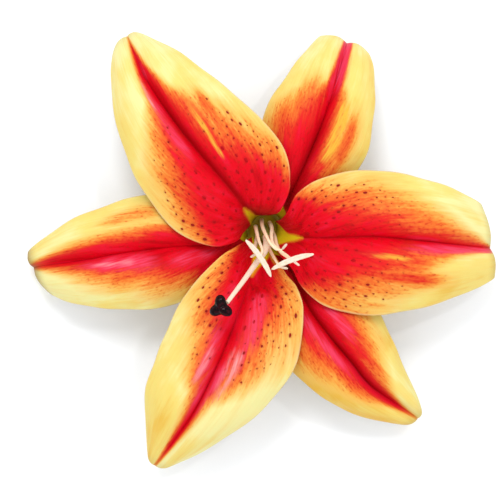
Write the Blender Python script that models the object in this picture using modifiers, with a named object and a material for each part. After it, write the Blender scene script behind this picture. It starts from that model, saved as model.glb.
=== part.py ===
"""A lily bloom, picked, lying face up on the curled tips of its three outer tepals.

Metres, +Z up, +Y towards the top of the bloom as it is seen from above. The origin is under the middle
of the bloom, on the surface that it lies on. Every piece is its own object: six tepals in two rings, six
stamens (filament and anther), the pistil (ovary, style and stigma), and the receptacle with its cut pedicel.
"""

import math

import bmesh
import bpy
from mathutils import Vector

MM = 0.001

# Driving dimensions
BLOOM_WIDTH = 170 * MM
BLADE_THICKNESS = 0.8 * MM
SEAT_GAP = 0.3 * MM
ANTHER_LENGTH = 16 * MM
ANTHER_RADIUS = 0.85 * MM
ANTHER_FLATNESS = 0.75
ANTHER_BOW = 0.05
SMALL_ANTHER_LENGTH = 3.6 * MM
SMALL_ANTHER_RADIUS = 0.45 * MM
FILAMENT_FOOT_RADIUS = 0.8 * MM
FILAMENT_TIP_RADIUS = 0.35 * MM
STYLE_RADIUS = 1.1 * MM
STIGMA_RADIUS = 4.2 * MM
OVARY_RADIUS = 1.9 * MM

# Plan positions are read off the top view in its own pixels. The bloom spans this many of them from left
# to right, and the origin is under this one.
VIEW_SPAN_PX = 471
VIEW_MIDDLE_PX = (261.5, 249.5)
PIXEL = BLOOM_WIDTH / VIEW_SPAN_PX

# The tube of the flower leans: its axis goes from the receptacle to the middle of the mouth, and on past it.
TUBE_FOOT_PX = (264, 228)
TUBE_FOOT_HEIGHT = 9 * MM
TUBE_MOUTH_PX = (267, 243)
TUBE_MOUTH_HEIGHT = 28 * MM
TUBE_REACH = 1.3

# Stations along a tepal: 0 foot of the claw, 1 tube, 2 mouth, 3 shoulder, 4 to 6 blade, 7 near the tip,
# 8 the fold where the blade turns down, 9 under the fold, 10 the tip.
LAST_STATION = 10
MOUTH_STATION = 2
BLADE_STATION = 4

# Heights in mm, one for each station. A margin hangs below the midrib by the droop, each half of the blade
# swells by the lobe, and the midrib lies in a groove.
INNER_HEIGHT = (9.2, 18, 28, 32.5, 37, 40.5, 40.5, 35.5, 20, 12, 7)
OUTER_HEIGHT = (7.2, 14.6, 22.2, 25.4, 28.5, 31, 30.6, 27, 14.5, 1.2, -1.6)
INNER_DROOP = (0, 0, 0, 0.5, 3, 5.5, 6.5, 5.5, 3, 0.5, 0)
OUTER_DROOP = (0, 0, 0, 0.5, 2.5, 4.5, 5, 4.5, 2.5, 0, 0)
LOBE = (0, 0, 0.3, 1.2, 2.6, 3.6, 3.8, 3.2, 2.0, 0, 0)
GROOVE = (0.3, 0.5, 0.8, 1.0, 1.3, 1.5, 1.4, 1.2, 0.9, 0, 0)
GROOVE_HALF_WIDTH = 3.0 * MM
LOBE_CREST = 0.75
NORMAL_STEP = 0.02

# Rows across a tepal and columns along it, closer together where the blade bends most
ROWS = [
    0, 0.5, 1, 1.5, 2, 2.4, 2.8, 3.3, 3.8, 4.4, 5, 5.6,
    6.2, 6.8, 7.2, 7.5, 7.8, 8.1, 8.4, 8.75, 9.1, 9.4, 9.7, 10,
]
HALF_COLUMNS = [0, 0.07, 0.17, 0.33, 0.55, 0.8, 1]
COLUMNS = [-c for c in reversed(HALF_COLUMNS[1:])] + HALF_COLUMNS

# Midrib and margins of each tepal from above, station by station. Left and right are as seen from the
# throat, looking out along the tepal.
TEPALS = {
    "inner_tepal_1": {
        "ring": "inner",
        "midrib": [
            (256.5, 217), (252, 214), (244, 208), (236, 197), (220, 178), (197, 151), (170, 116),
            (145, 77), (127, 36), (129, 42), (137, 56),
        ],
        "left": [
            (252, 223), (243.5, 232), (235, 242), (211, 246), (175, 230), (144, 191), (125, 150),
            (112, 98), (111.5, 51), (119, 52), (133, 58),
        ],
        "right": [
            (263.3, 214.5), (271.5, 214), (281.5, 209), (290.5, 181), (281, 144), (249, 108.5),
            (217, 81), (182, 54.5), (142, 32), (143, 39), (141, 54),
        ],
    },
    "inner_tepal_2": {
        "ring": "inner",
        "midrib": [
            (277, 228), (287, 235), (303, 238), (316, 238), (340, 238), (374, 237), (411, 240),
            (450, 244), (490, 248), (487, 249), (474, 250),
        ],
        "left": [
            (275, 221), (281, 219), (287.5, 211.5), (298, 193), (323, 178), (363, 171), (406, 175),
            (446, 186), (483, 203), (479, 212), (472, 246),
        ],
        "right": [
            (275, 235), (278.5, 253), (292.5, 269.5), (302, 287), (324, 305), (363, 314.5),
            (407, 310.5), (453, 298), (495.5, 279.5), (490, 274), (473, 254),
        ],
    },
    "inner_tepal_3": {
        "ring": "inner",
        "midrib": [
            (259, 240), (257, 255), (251, 277), (247, 290), (240, 308), (228, 340), (212, 376),
            (190, 418), (156, 465), (158, 460), (165, 448),
        ],
        "left": [
            (266, 241), (275, 255), (286.5, 274.5), (297, 288), (303, 313), (296, 362), (267, 404),
            (222, 440), (173, 467), (171, 461), (168, 450),
        ],
        "right": [
            (253, 236), (244.5, 241.5), (235.5, 247), (219, 258), (190, 289), (171, 322), (157, 356),
            (146, 392), (146.5, 452), (151, 451), (162, 445),
        ],
    },
    "outer_tepal_1": {
        "ring": "outer",
        "midrib": [
            (272.5, 212), (278, 208), (285.5, 202.5), (293, 190), (305, 164), (318, 134), (330, 101),
            (340, 69), (348, 41), (346, 47), (339.5, 64),
        ],
        "left": [
            (265.5, 210), (265, 205), (262.5, 198), (262, 179), (261, 147), (264.5, 113), (279, 86),
            (300, 57), (322, 32.5), (326, 41), (335, 62.5),
        ],
        "right": [
            (278, 217), (289, 217), (303, 218), (322, 204), (348, 183), (367, 153), (374, 115),
            (375.5, 79), (370.5, 50), (361, 54), (344, 65.5),
        ],
    },
    "outer_tepal_2": {
        "ring": "outer",
        "midrib": [
            (246, 229), (237, 234.5), (224.5, 242.5), (210, 245), (183, 246), (153, 249), (120, 253.5),
            (84, 260), (33, 267), (38, 266), (56, 263.5),
        ],
        "left": [
            (248, 236), (241, 247.5), (231.5, 263.5), (208, 281), (180, 302), (150, 309), (114, 309),
            (77, 304.5), (48, 295), (50, 290), (56.5, 268.5),
        ],
        "right": [
            (247.5, 221.5), (240, 221.5), (230, 219), (208, 209), (178, 197), (145, 194.5), (107, 205),
            (67, 222), (26, 250), (32, 255), (55.5, 259),
        ],
    },
    "outer_tepal_3": {
        "ring": "outer",
        "midrib": [
            (274.5, 242.5), (281.5, 256), (291.5, 273.5), (299, 289), (312, 313), (330, 337),
            (350, 361), (373, 388), (418, 419), (414, 416), (398.5, 403.5),
        ],
        "left": [
            (279.5, 237), (290.5, 246), (305.5, 256), (327, 273), (350, 288), (372, 303), (388, 329),
            (401, 359), (423, 408), (417, 407), (402, 400),
        ],
        "right": [
            (267.5, 245.5), (269, 261), (269.5, 282), (271, 305), (277, 338), (290, 368), (315, 391.5),
            (350, 413), (402, 427), (402, 420), (395, 407),
        ],
    },
}

# Stamens. A filament's path goes from foot to tip, as (x, y) in the top view's pixels and the height in mm.
# The reach of its anther is how far that goes in the same three ways. Two anthers grew to full size.
STAMENS = [
    {
        "filament": [
            (255.7, 226, 9), (256, 228, 18), (257, 233, 26), (259, 241, 34), (262, 250, 43), (260, 257, 50),
        ],
        "anther_reach": (23.5, 34, -0.5),
        "full": True,
    },
    {
        "filament": [
            (258, 234, 9), (256.5, 240, 18), (255.5, 246.5, 28), (255.5, 250.5, 36.5), (256.5, 254, 43.5),
        ],
        "anther_reach": (-7, 3.6, 3.5),
        "full": False,
    },
    {
        "filament": [
            (270, 222, 9), (272, 228, 19), (271.5, 236, 27), (273, 244, 33), (279, 250, 38), (286, 255, 44),
            (291, 259.5, 49.5),
        ],
        "anther_reach": (41, -15, 0.5),
        "full": True,
    },
    {
        "filament": [
            (272.3, 230, 9), (275, 237, 19), (277, 245, 25), (280.5, 252, 31), (286, 256.5, 35.5),
            (291, 259.5, 38.5),
        ],
        "anther_reach": (8, 6, 1.5),
        "full": False,
    },
    {
        "filament": [
            (266.2, 236.5, 9), (268, 243, 18), (270, 250, 25), (273.5, 257, 31), (277, 263, 37),
            (279.5, 267, 40),
        ],
        "anther_reach": (9, 1.5, 3),
        "full": False,
    },
    {
        "filament": [
            (262, 219.5, 9), (262.5, 226, 20), (265.5, 234, 30), (270, 243, 37), (275.5, 249, 42),
            (281, 250, 45),
        ],
        "anther_reach": (6, -7, 3),
        "full": False,
    },
]

# Pistil, with its paths from foot to tip as (x, y) in pixels and the height in mm
OVARY_PATH = [(264, 229, 9), (264.5, 231.5, 14), (265.3, 234.5, 19), (265.8, 236.5, 23)]
OVARY_WIDTHS = (0.85, 1.0, 1.0, 0.7)
STYLE_PATH = [
    (265.9, 237, 23.5), (266.5, 243, 30), (264, 252, 36.5), (256, 263, 42.5), (243, 281, 49.5),
    (227.6, 301.4, 55.4),
]
STYLE_WIDTHS = (1.1, 1.15, 1.1, 0.95, 0.8, 0.65)
STIGMA_PLACE = (221.5, 306, 56.5)
STIGMA_FACING = Vector((-0.35, -0.2, 0.9))
STIGMA_TURN = math.radians(31)
STIGMA_REACH, STIGMA_LOBES = 0.86, 0.24
STIGMA_DEPTH, STIGMA_SWELL = 0.5, 0.12

# Receptacle and pedicel: (radius, height) in mm down the outside. The inner claws stand on its top and the
# outer claws on the step round it.
RECEPTACLE_PROFILE = [
    (0, 8.5), (5.4, 8.5), (5.6, 6.5), (7.4, 6.5), (7.1, 5.4), (4.6, 3.8), (2.9, 2.8), (2.6, 1.9),
    (2.6, 0.8), (0, 0.8),
]
ROUND_STEPS = 20
STRAND_SIDES = {"filament": 1, "style": 2, "ovary": 2}
STRAND_SAMPLES = {"filament": 11, "style": 14, "ovary": 8}
ANTHER_SIDES = 8

# Colour, roughness and metallic value
FINISHES = {
    "tepal": ((0.85, 0.10, 0.05, 1), 0.45, 0),
    "filament": ((0.92, 0.72, 0.55, 1), 0.5, 0),
    "anther": ((0.95, 0.90, 0.80, 1), 0.55, 0),
    "style": ((0.93, 0.78, 0.66, 1), 0.45, 0),
    "stigma": ((0.02, 0.008, 0.012, 1), 0.12, 0),
    "ovary": ((0.35, 0.42, 0.08, 1), 0.5, 0),
    "pedicel": ((0.28, 0.42, 0.12, 1), 0.5, 0),
}


def clear_scene():
    for obj in list(bpy.data.objects):
        bpy.data.objects.remove(obj)


def make_collection(name):
    collection = bpy.data.collections.new(name)
    bpy.context.scene.collection.children.link(collection)
    return collection


def finish_of(name):
    """The material of that name, made the first time it is asked for."""
    if name in bpy.data.materials:
        return bpy.data.materials[name]
    colour, roughness, metallic = FINISHES[name]
    material = bpy.data.materials.new(name)
    material.use_nodes = True
    shader = material.node_tree.nodes["Principled BSDF"]
    shader.inputs["Base Color"].default_value = colour
    shader.inputs["Roughness"].default_value = roughness
    shader.inputs["Metallic"].default_value = metallic
    return material


def add_object(name, data, finish, collection):
    obj = bpy.data.objects.new(name, data)
    obj.data.materials.append(finish_of(finish))
    collection.objects.link(obj)
    return obj


def plan(point_px):
    """A point of the top view, in metres from the origin."""
    return Vector(
        (
            (point_px[0] - VIEW_MIDDLE_PX[0]) * PIXEL,
            (VIEW_MIDDLE_PX[1] - point_px[1]) * PIXEL,
        )
    )


def placed(x_px, y_px, height_mm):
    return plan((x_px, y_px)).to_3d() + Vector((0, 0, height_mm * MM))


def smooth(values, station):
    """The smooth curve (Catmull-Rom) through numbers or vectors at stations 0, 1, 2 and so on."""
    i = min(int(station), len(values) - 2)
    f = station - i
    b, c = values[i], values[i + 1]
    a = values[i - 1] if i > 0 else 2 * b - c
    d = values[i + 2] if i + 2 < len(values) else 2 * c - b
    return (
        b
        + (c - a) * (0.5 * f)
        + (2 * a - 5 * b + 4 * c - d) * (0.5 * f * f)
        + (3 * b - a - 3 * c + d) * (0.5 * f * f * f)
    )


def ease(x):
    x = min(1, max(0, x))
    return x * x * (3 - 2 * x)


def tube_axis(height):
    share = (height - TUBE_FOOT_HEIGHT) / (TUBE_MOUTH_HEIGHT - TUBE_FOOT_HEIGHT)
    return plan(TUBE_FOOT_PX).lerp(plan(TUBE_MOUTH_PX), min(TUBE_REACH, max(0, share)))


def round_the_axis(start, end, share, height):
    """The point that share of the way from start to end on an arc round the tube's axis, in plan."""
    axis = tube_axis(height)
    a, b = start - axis, end - axis
    turn = math.atan2(a.x * b.y - a.y * b.x, a.dot(b)) * share
    radius = a.length + (b.length - a.length) * share
    bearing = math.atan2(a.y, a.x) + turn
    return axis + radius * Vector((math.cos(bearing), math.sin(bearing)))


class Tepal:
    """The middle surface of a tepal.

    A place on it is a station (0 to 10) and how far across it is (-1 left margin, 0 midrib, 1 right margin).
    """

    def __init__(self, spec):
        inner = spec["ring"] == "inner"
        self.midrib = [plan(p) for p in spec["midrib"]]
        self.margins = {
            -1: [plan(p) for p in spec["left"]],
            1: [plan(p) for p in spec["right"]],
        }
        self.height = INNER_HEIGHT if inner else OUTER_HEIGHT
        self.droop = INNER_DROOP if inner else OUTER_DROOP

    def ruled(self, station, across):
        """Before it is swollen and grooved: an arc round the tube low down, a straight rib further out."""
        side = -1 if across < 0 else 1
        share = abs(across)
        middle = smooth(self.midrib, station)
        margin = smooth(self.margins[side], station)
        drop = smooth(self.droop, station) * share**2
        height = (smooth(self.height, station) - drop) * MM
        height = max(height, BLADE_THICKNESS / 2)
        straight = middle.lerp(margin, share)
        arc = round_the_axis(middle, margin, share, height)
        out = ease((station - MOUTH_STATION) / (BLADE_STATION - MOUTH_STATION))
        return arc.lerp(straight, out).to_3d() + Vector((0, 0, height))

    def normal(self, station, across):
        low = max(0, station - NORMAL_STEP)
        high = min(LAST_STATION, station + NORMAL_STEP)
        along = self.ruled(high, across) - self.ruled(low, across)
        left, right = max(-1, across - NORMAL_STEP), min(1, across + NORMAL_STEP)
        over = self.ruled(station, right) - self.ruled(station, left)
        return over.cross(along).normalized()

    def half_width(self, station, across):
        side = -1 if across < 0 else 1
        return (smooth(self.margins[side], station) - smooth(self.midrib, station)).length

    def point(self, station, across):
        share = abs(across)
        lobe = smooth(LOBE, station) * math.sin(math.pi * share**LOBE_CREST)
        from_midrib = share * self.half_width(station, across)
        groove = smooth(GROOVE, station) * math.exp(-((from_midrib / GROOVE_HALF_WIDTH) ** 2))
        swell = (lobe - groove) * MM
        return self.ruled(station, across) + self.normal(station, across) * swell


def make_tepal(name, spec, collection):
    tepal = Tepal(spec)
    mesh = bpy.data.meshes.new(name)
    sheet = bmesh.new()
    bmesh.ops.create_grid(
        sheet,
        x_segments=len(COLUMNS) - 1,
        y_segments=len(ROWS) - 1,
        size=1,
    )
    sheet.verts.ensure_lookup_table()
    for i, vert in enumerate(sheet.verts):
        row, column = divmod(i, len(COLUMNS))
        vert.co = tepal.point(ROWS[row], COLUMNS[column])
        vert.co.z = max(vert.co.z, BLADE_THICKNESS / 2)
    bmesh.ops.triangulate(sheet, faces=sheet.faces, quad_method="ALTERNATE")
    sheet.to_mesh(mesh)
    sheet.free()
    mesh.shade_smooth()
    obj = add_object(name, mesh, "tepal", collection)
    solid = obj.modifiers.new("Blade", "SOLIDIFY")
    solid.thickness = BLADE_THICKNESS
    solid.offset = 0
    return obj


def make_strand(name, path, radii, finish, collection):
    """A round strand along a path, as thick at each of its points as radii says."""
    samples = STRAND_SAMPLES[finish]
    curve = bpy.data.curves.new(name, "CURVE")
    curve.dimensions = "3D"
    curve.bevel_depth = 1
    curve.bevel_resolution = STRAND_SIDES[finish]
    curve.use_fill_caps = True
    spline = curve.splines.new("POLY")
    spline.points.add(samples)
    for i, point in enumerate(spline.points):
        station = i * (len(path) - 1) / samples
        point.co = smooth(path, station).to_4d()
        point.radius = smooth(radii, station)
    return add_object(name, curve, finish, collection)


def make_filament(number, stamen, collection):
    path = [placed(*p) for p in stamen["filament"]]
    last = len(path) - 1
    taper = FILAMENT_FOOT_RADIUS - FILAMENT_TIP_RADIUS
    radii = [FILAMENT_FOOT_RADIUS - taper * i / last for i in range(last + 1)]
    return make_strand(f"filament_{number}", path, radii, "filament", collection)


def make_anther(number, stamen, collection):
    """A spindle. A full one lies across its filament's tip, and a small one goes on from it."""
    full = stamen["full"]
    length = ANTHER_LENGTH if full else SMALL_ANTHER_LENGTH
    radius = ANTHER_RADIUS if full else SMALL_ANTHER_RADIUS
    x_px, y_px, rise = stamen["anther_reach"]
    along = Vector((x_px * PIXEL, -y_px * PIXEL, rise * MM)).normalized()
    tip = placed(*stamen["filament"][-1])
    lift = Vector((0, 0, radius * ANTHER_FLATNESS + SEAT_GAP))
    centre = tip + lift if full else tip + along * (length / 2 + SEAT_GAP)
    mesh = bpy.data.meshes.new(f"anther_{number}")
    body = bmesh.new()
    bmesh.ops.create_uvsphere(body, u_segments=ANTHER_SIDES, v_segments=ANTHER_SIDES, radius=1)
    sideways = Vector((0, 0, 1)).cross(along).normalized()
    upward = along.cross(sideways)
    bow = ANTHER_BOW * length if full else 0
    for vert in body.verts:
        end = vert.co.z
        taper = math.sqrt(max(0, 1 - abs(end) ** 3))
        round_it = Vector((vert.co.x, vert.co.y)).normalized()
        across, over = round_it
        flat = 1 - (1 - ANTHER_FLATNESS) * over * over
        vert.co = (
            centre
            + along * (end * length / 2)
            + sideways * (across * radius * taper - bow * end * end)
            + upward * (over * radius * taper * flat)
        )
    body.to_mesh(mesh)
    body.free()
    mesh.shade_smooth()
    return add_object(f"anther_{number}", mesh, "anther", collection)


def make_style(collection):
    path = [placed(*p) for p in STYLE_PATH]
    radii = [STYLE_RADIUS * width for width in STYLE_WIDTHS]
    return make_strand("style", path, radii, "style", collection)


def make_ovary(collection):
    path = [placed(*p) for p in OVARY_PATH]
    radii = [OVARY_RADIUS * width for width in OVARY_WIDTHS]
    return make_strand("ovary", path, radii, "ovary", collection)


def make_stigma(collection):
    """Three rounded lobes: a flattened ball whose reach swells three times on the way round."""
    mesh = bpy.data.meshes.new("stigma")
    body = bmesh.new()
    bmesh.ops.create_uvsphere(body, u_segments=24, v_segments=10, radius=1)
    turn = STIGMA_FACING.to_track_quat("Z", "Y")
    centre = placed(*STIGMA_PLACE)
    for vert in body.verts:
        bearing = math.atan2(vert.co.y, vert.co.x)
        swell = math.cos(3 * (bearing - STIGMA_TURN))
        level = math.hypot(vert.co.x, vert.co.y)
        reach = STIGMA_RADIUS * (STIGMA_REACH + STIGMA_LOBES * swell) * level
        depth = STIGMA_RADIUS * vert.co.z * (STIGMA_DEPTH + STIGMA_SWELL * swell * level)
        vert.co = centre + turn @ Vector(
            (math.cos(bearing) * reach, math.sin(bearing) * reach, depth)
        )
    body.to_mesh(mesh)
    body.free()
    mesh.shade_smooth()
    return add_object("stigma", mesh, "stigma", collection)


def make_receptacle(collection):
    mesh = bpy.data.meshes.new("receptacle_and_pedicel")
    line = bmesh.new()
    corners = [line.verts.new((r * MM, 0, z * MM)) for r, z in RECEPTACLE_PROFILE]
    for a, b in zip(corners, corners[1:]):
        line.edges.new((a, b))
    line.to_mesh(mesh)
    line.free()
    obj = add_object("receptacle_and_pedicel", mesh, "pedicel", collection)
    obj.location = plan(TUBE_FOOT_PX).to_3d()
    turned = obj.modifiers.new("Turned", "SCREW")
    turned.steps = turned.render_steps = ROUND_STEPS
    turned.use_merge_vertices = True
    turned.merge_threshold = 0.00001
    return obj


def main():
    clear_scene()
    bloom = make_collection("lily_bloom")
    for name, spec in TEPALS.items():
        make_tepal(name, spec, bloom)
    for number, stamen in enumerate(STAMENS, start=1):
        make_filament(number, stamen, bloom)
        make_anther(number, stamen, bloom)
    make_ovary(bloom)
    make_style(bloom)
    make_stigma(bloom)
    make_receptacle(bloom)


main()
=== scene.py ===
"""The looks of a lily bloom lying face up: painted, spotted petals, stamens and pistil."""

import math
import random

import bpy
import numpy as np
from mathutils import Matrix, Vector

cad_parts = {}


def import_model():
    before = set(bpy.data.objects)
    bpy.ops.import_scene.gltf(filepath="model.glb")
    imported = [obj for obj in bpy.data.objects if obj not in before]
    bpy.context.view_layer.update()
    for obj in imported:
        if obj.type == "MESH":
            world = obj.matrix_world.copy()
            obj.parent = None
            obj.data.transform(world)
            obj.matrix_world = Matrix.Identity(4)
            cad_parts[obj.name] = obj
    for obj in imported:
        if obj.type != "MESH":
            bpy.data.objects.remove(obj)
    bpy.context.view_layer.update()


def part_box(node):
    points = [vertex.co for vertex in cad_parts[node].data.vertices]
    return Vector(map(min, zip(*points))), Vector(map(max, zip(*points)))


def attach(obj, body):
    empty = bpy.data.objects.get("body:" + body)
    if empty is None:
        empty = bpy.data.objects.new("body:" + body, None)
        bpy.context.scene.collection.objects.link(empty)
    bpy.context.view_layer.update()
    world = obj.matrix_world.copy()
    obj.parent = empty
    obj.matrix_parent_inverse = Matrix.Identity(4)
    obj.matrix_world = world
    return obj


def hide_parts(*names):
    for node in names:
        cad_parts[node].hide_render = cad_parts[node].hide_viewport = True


MM = 0.001

# Sizes of the bloom, and how plan places are read off its top view: the bloom spans so many pixels
# from left to right, and the origin is under the pixel at its middle.
BLOOM_WIDTH = 170 * MM
VIEW_SPAN_PX = 471
VIEW_MIDDLE_PX = (261.5, 249.5)
PIXEL = BLOOM_WIDTH / VIEW_SPAN_PX
PHOTO_SIZE_PX = 500
BLADE_THICKNESS = 0.8 * MM
MARGIN_THINNESS = 0.5

# The tube of the flower leans from the receptacle to the middle of its mouth, and its axis is
# followed to this share of the way.
TUBE_FOOT_PX = (264, 228)
TUBE_FOOT_HEIGHT = 9 * MM
TUBE_MOUTH_PX = (267, 243)
TUBE_MOUTH_HEIGHT = 28 * MM
TUBE_REACH = 1.3

# Stations along a petal: 0 foot, 2 mouth of the tube, 4 to 6 blade, 8 fold near the tip, 10 tip.
# At each one, in mm: how high the midrib is, how far the margins droop below it, how far the lobes
# beside it swell, and how deep it is sunk. Then where the lobes' crest is and the slope's step.
LAST_STATION = 10
MOUTH_STATION = 2
BLADE_STATION = 4
INNER_HEIGHT = (9.2, 18, 28, 32.5, 37, 40.5, 40.5, 35.5, 20, 12, 7)
OUTER_HEIGHT = (7.2, 14.6, 22.2, 25.4, 28.5, 31, 30.6, 27, 14.5, 1.2, -1.6)
INNER_DROOP = (0, 0, 0, 0.5, 3, 5.5, 6.5, 5.5, 3, 0.5, 0)
OUTER_DROOP = (0, 0, 0, 0.5, 2.5, 4.5, 5, 4.5, 2.5, 0, 0)
LOBE = (0, 0, 0.3, 1.2, 2.6, 3.6, 3.8, 3.2, 1.4, 0, 0)
GROOVE = (0.3, 0.5, 0.8, 1.0, 1.3, 1.5, 1.4, 1.2, 0.5, 0, 0)
GROOVE_HALF_WIDTH = 3.0 * MM
LOBE_CREST = 0.75
NORMAL_STEP = 0.02

# Low waves of the blade and of its margins, in mm, and the stations where they rise and die away
WAVE_MM, RUFFLE_MM = 0.22, 0.30
WAVES_RISE, WAVES_RISE_OVER = 2.6, 1.5
WAVES_FADE, WAVES_FADE_OVER = 7.0, 1.2
PETAL_PHASE = 1.7

# How far the veins spread from the midrib at each station, as a share of the half width
VEIN_SPREAD = 0.08

# Fineness of a petal's mesh, how much closer its rows are near both ends, and its thickness steps
CELLS_ACROSS = 104
CELLS_ALONG = 250
END_CROWDING = 0.35
THICKNESS_STEPS = 20

# Each petal's midrib and margins from above, station by station, left and right as seen from the
# throat
SHAPES = {
    "inner_tepal_1": {
        "midrib": [
            (256.5, 217), (252, 214), (244, 208), (236, 197), (220, 178), (197, 151), (170, 116),
            (145, 77), (127, 36), (129, 42), (137, 56),
        ],
        "left": [
            (252, 223), (243.5, 232), (235, 242), (211, 246), (175, 230), (144, 191), (125, 150),
            (112, 98), (111.5, 51), (119, 52), (133, 58),
        ],
        "right": [
            (263.3, 214.5), (271.5, 214), (281.5, 209), (290.5, 181), (281, 144), (249, 108.5),
            (217, 81), (182, 54.5), (142, 32), (143, 39), (141, 54),
        ],
    },
    "inner_tepal_2": {
        "midrib": [
            (277, 228), (287, 235), (303, 238), (316, 238), (340, 238), (374, 237), (411, 240),
            (450, 244), (490, 248), (487, 249), (474, 250),
        ],
        "left": [
            (275, 221), (281, 219), (287.5, 211.5), (298, 193), (323, 178), (363, 171), (406, 175),
            (446, 186), (483, 203), (479, 212), (472, 246),
        ],
        "right": [
            (275, 235), (278.5, 253), (292.5, 269.5), (302, 287), (324, 305), (363, 314.5),
            (407, 310.5), (453, 298), (495.5, 279.5), (490, 274), (473, 254),
        ],
    },
    "inner_tepal_3": {
        "midrib": [
            (259, 240), (257, 255), (251, 277), (247, 290), (240, 308), (228, 340), (212, 376),
            (190, 418), (156, 465), (158, 460), (165, 448),
        ],
        "left": [
            (266, 241), (275, 255), (286.5, 274.5), (297, 288), (303, 313), (296, 362), (267, 404),
            (222, 440), (173, 467), (171, 461), (168, 450),
        ],
        "right": [
            (253, 236), (244.5, 241.5), (235.5, 247), (219, 258), (190, 289), (171, 322),
            (157, 356), (146, 392), (146.5, 452), (151, 451), (162, 445),
        ],
    },
    "outer_tepal_1": {
        "midrib": [
            (272.5, 212), (278, 208), (285.5, 202.5), (293, 190), (305, 164), (318, 134),
            (330, 101), (340, 69), (348, 41), (346, 47), (339.5, 64),
        ],
        "left": [
            (265.5, 210), (265, 205), (262.5, 198), (262, 179), (261, 147), (264.5, 113), (279, 86),
            (300, 57), (322, 32.5), (326, 41), (335, 62.5),
        ],
        "right": [
            (281, 218), (289, 218), (303, 218), (322, 204), (348, 183), (367, 153), (374, 115),
            (375.5, 79), (370.5, 50), (361, 54), (344, 65.5),
        ],
    },
    "outer_tepal_2": {
        "midrib": [
            (246, 229), (237, 234.5), (224.5, 242.5), (210, 245), (183, 246), (153, 249),
            (120, 253.5), (84, 260), (33, 267), (38, 266), (56, 263.5),
        ],
        "left": [
            (248, 236), (241, 247.5), (231.5, 263.5), (208, 281), (180, 302), (150, 309),
            (114, 309), (77, 304.5), (48, 295), (50, 290), (56.5, 268.5),
        ],
        "right": [
            (247.5, 221.5), (240, 221.5), (230, 219), (208, 209), (178, 197), (145, 194.5),
            (107, 205), (67, 222), (26, 250), (32, 255), (55.5, 259),
        ],
    },
    "outer_tepal_3": {
        "midrib": [
            (274.5, 242.5), (281.5, 256), (291.5, 273.5), (299, 289), (312, 313), (330, 337),
            (350, 361), (373, 388), (418, 419), (414, 416), (398.5, 403.5),
        ],
        "left": [
            (279.5, 237), (290.5, 246), (305.5, 256), (327, 273), (350, 288), (372, 303),
            (388, 329), (401, 359), (423, 408), (417, 407), (402, 400),
        ],
        "right": [
            (267.5, 245.5), (269, 261), (269.5, 282), (271, 305), (277, 338), (290, 368),
            (315, 391.5), (350, 413), (402, 427), (402, 420), (395, 407),
        ],
    },
}

# Each petal's colouring.
# red: (station, where the full red ends and the yellow begins over the left half, and the same over
#   the right half, as shares of it).
# strokes: (kind, station and place across at one end, the same at the other end, half width at each
#   end, strength). They lie along the blade. The pink strokes and the pinkish white strokes are
#   painted sheen highlights.
# warmth turns the yellow of the left and right half from cream to gold, as warm strokes do; the
# gold is partly the blade's own and partly painted shade where the blade turns down and away from
# the light.
# green: half widths of the throat's green wedge, left and right, at every half station.
# tip: how far the red has faded at the tip. fold: how strong the brown band of painted shade is
# where the blade's tip folds under.
# rib: the dark midrib's strength, its offset to the right and half width in mm, and where it ends.
# The dark midrib is mostly the petal's own dark red and partly painted shade in its groove.
# The values before the petals' own say how far red strokes reach, between what levels red stays,
# over what share of a stroke its ends fade, and where rib, green, warmth and red pass away.
RED_STROKE_REACH, RED_STROKE_EDGE = 1.6, 0.7
YELLOW_LEVEL, RED_LEVEL = -1.0, 2
STROKE_START, STROKE_END = 0.3, 0.4
RIB_FADE = 1.6
GREEN_STEPS, GREEN_CLOSING = 2, 2
# Gold towards the margins: partly the blade's own tone, partly painted shade where the margins
# curve down
SHADED_WARM_RIM, WARM_RIM_FROM, WARM_RIM_OVER = 0.2, 0.6, 0.4
PALE_END, PALE_END_FROM, PALE_END_OVER = 0.25, 6, 2
FADED_FROM, FADED_OVER = 7.5, 0.8
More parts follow.
